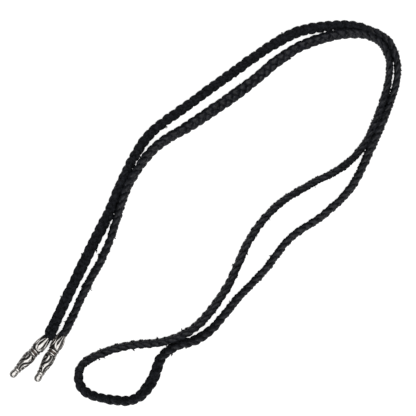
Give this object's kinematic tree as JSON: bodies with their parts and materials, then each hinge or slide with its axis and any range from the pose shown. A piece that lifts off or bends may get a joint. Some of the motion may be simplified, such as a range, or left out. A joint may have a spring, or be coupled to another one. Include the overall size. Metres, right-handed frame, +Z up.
{
  "type": "braided leather necklace",
  "caption": "Long flat-braided black leather necklace laid doubled, with an ornamented cast silver tip on each free end, worn knotted or threaded through a pendant.",
  "frame": {"origin": "middle of the lying necklace's bounding box, on the surface that it lies on", "axes": "+Z up from the surface, +X to the right and +Y to the top of the layout as it is seen from above"},
  "size_m": [0.2146, 0.212, 0.0074],
  "materials": {
    "leather": "soft matte black lace",
    "silver": "polished cast silver with darkened recesses"
  },
  "bodies": {
    "root": {"strand_1": "leather", "strand_2": "leather", "strand_3": "leather", "tip_left": "silver", "tip_right": "silver"}
  },
  "joints": []
}
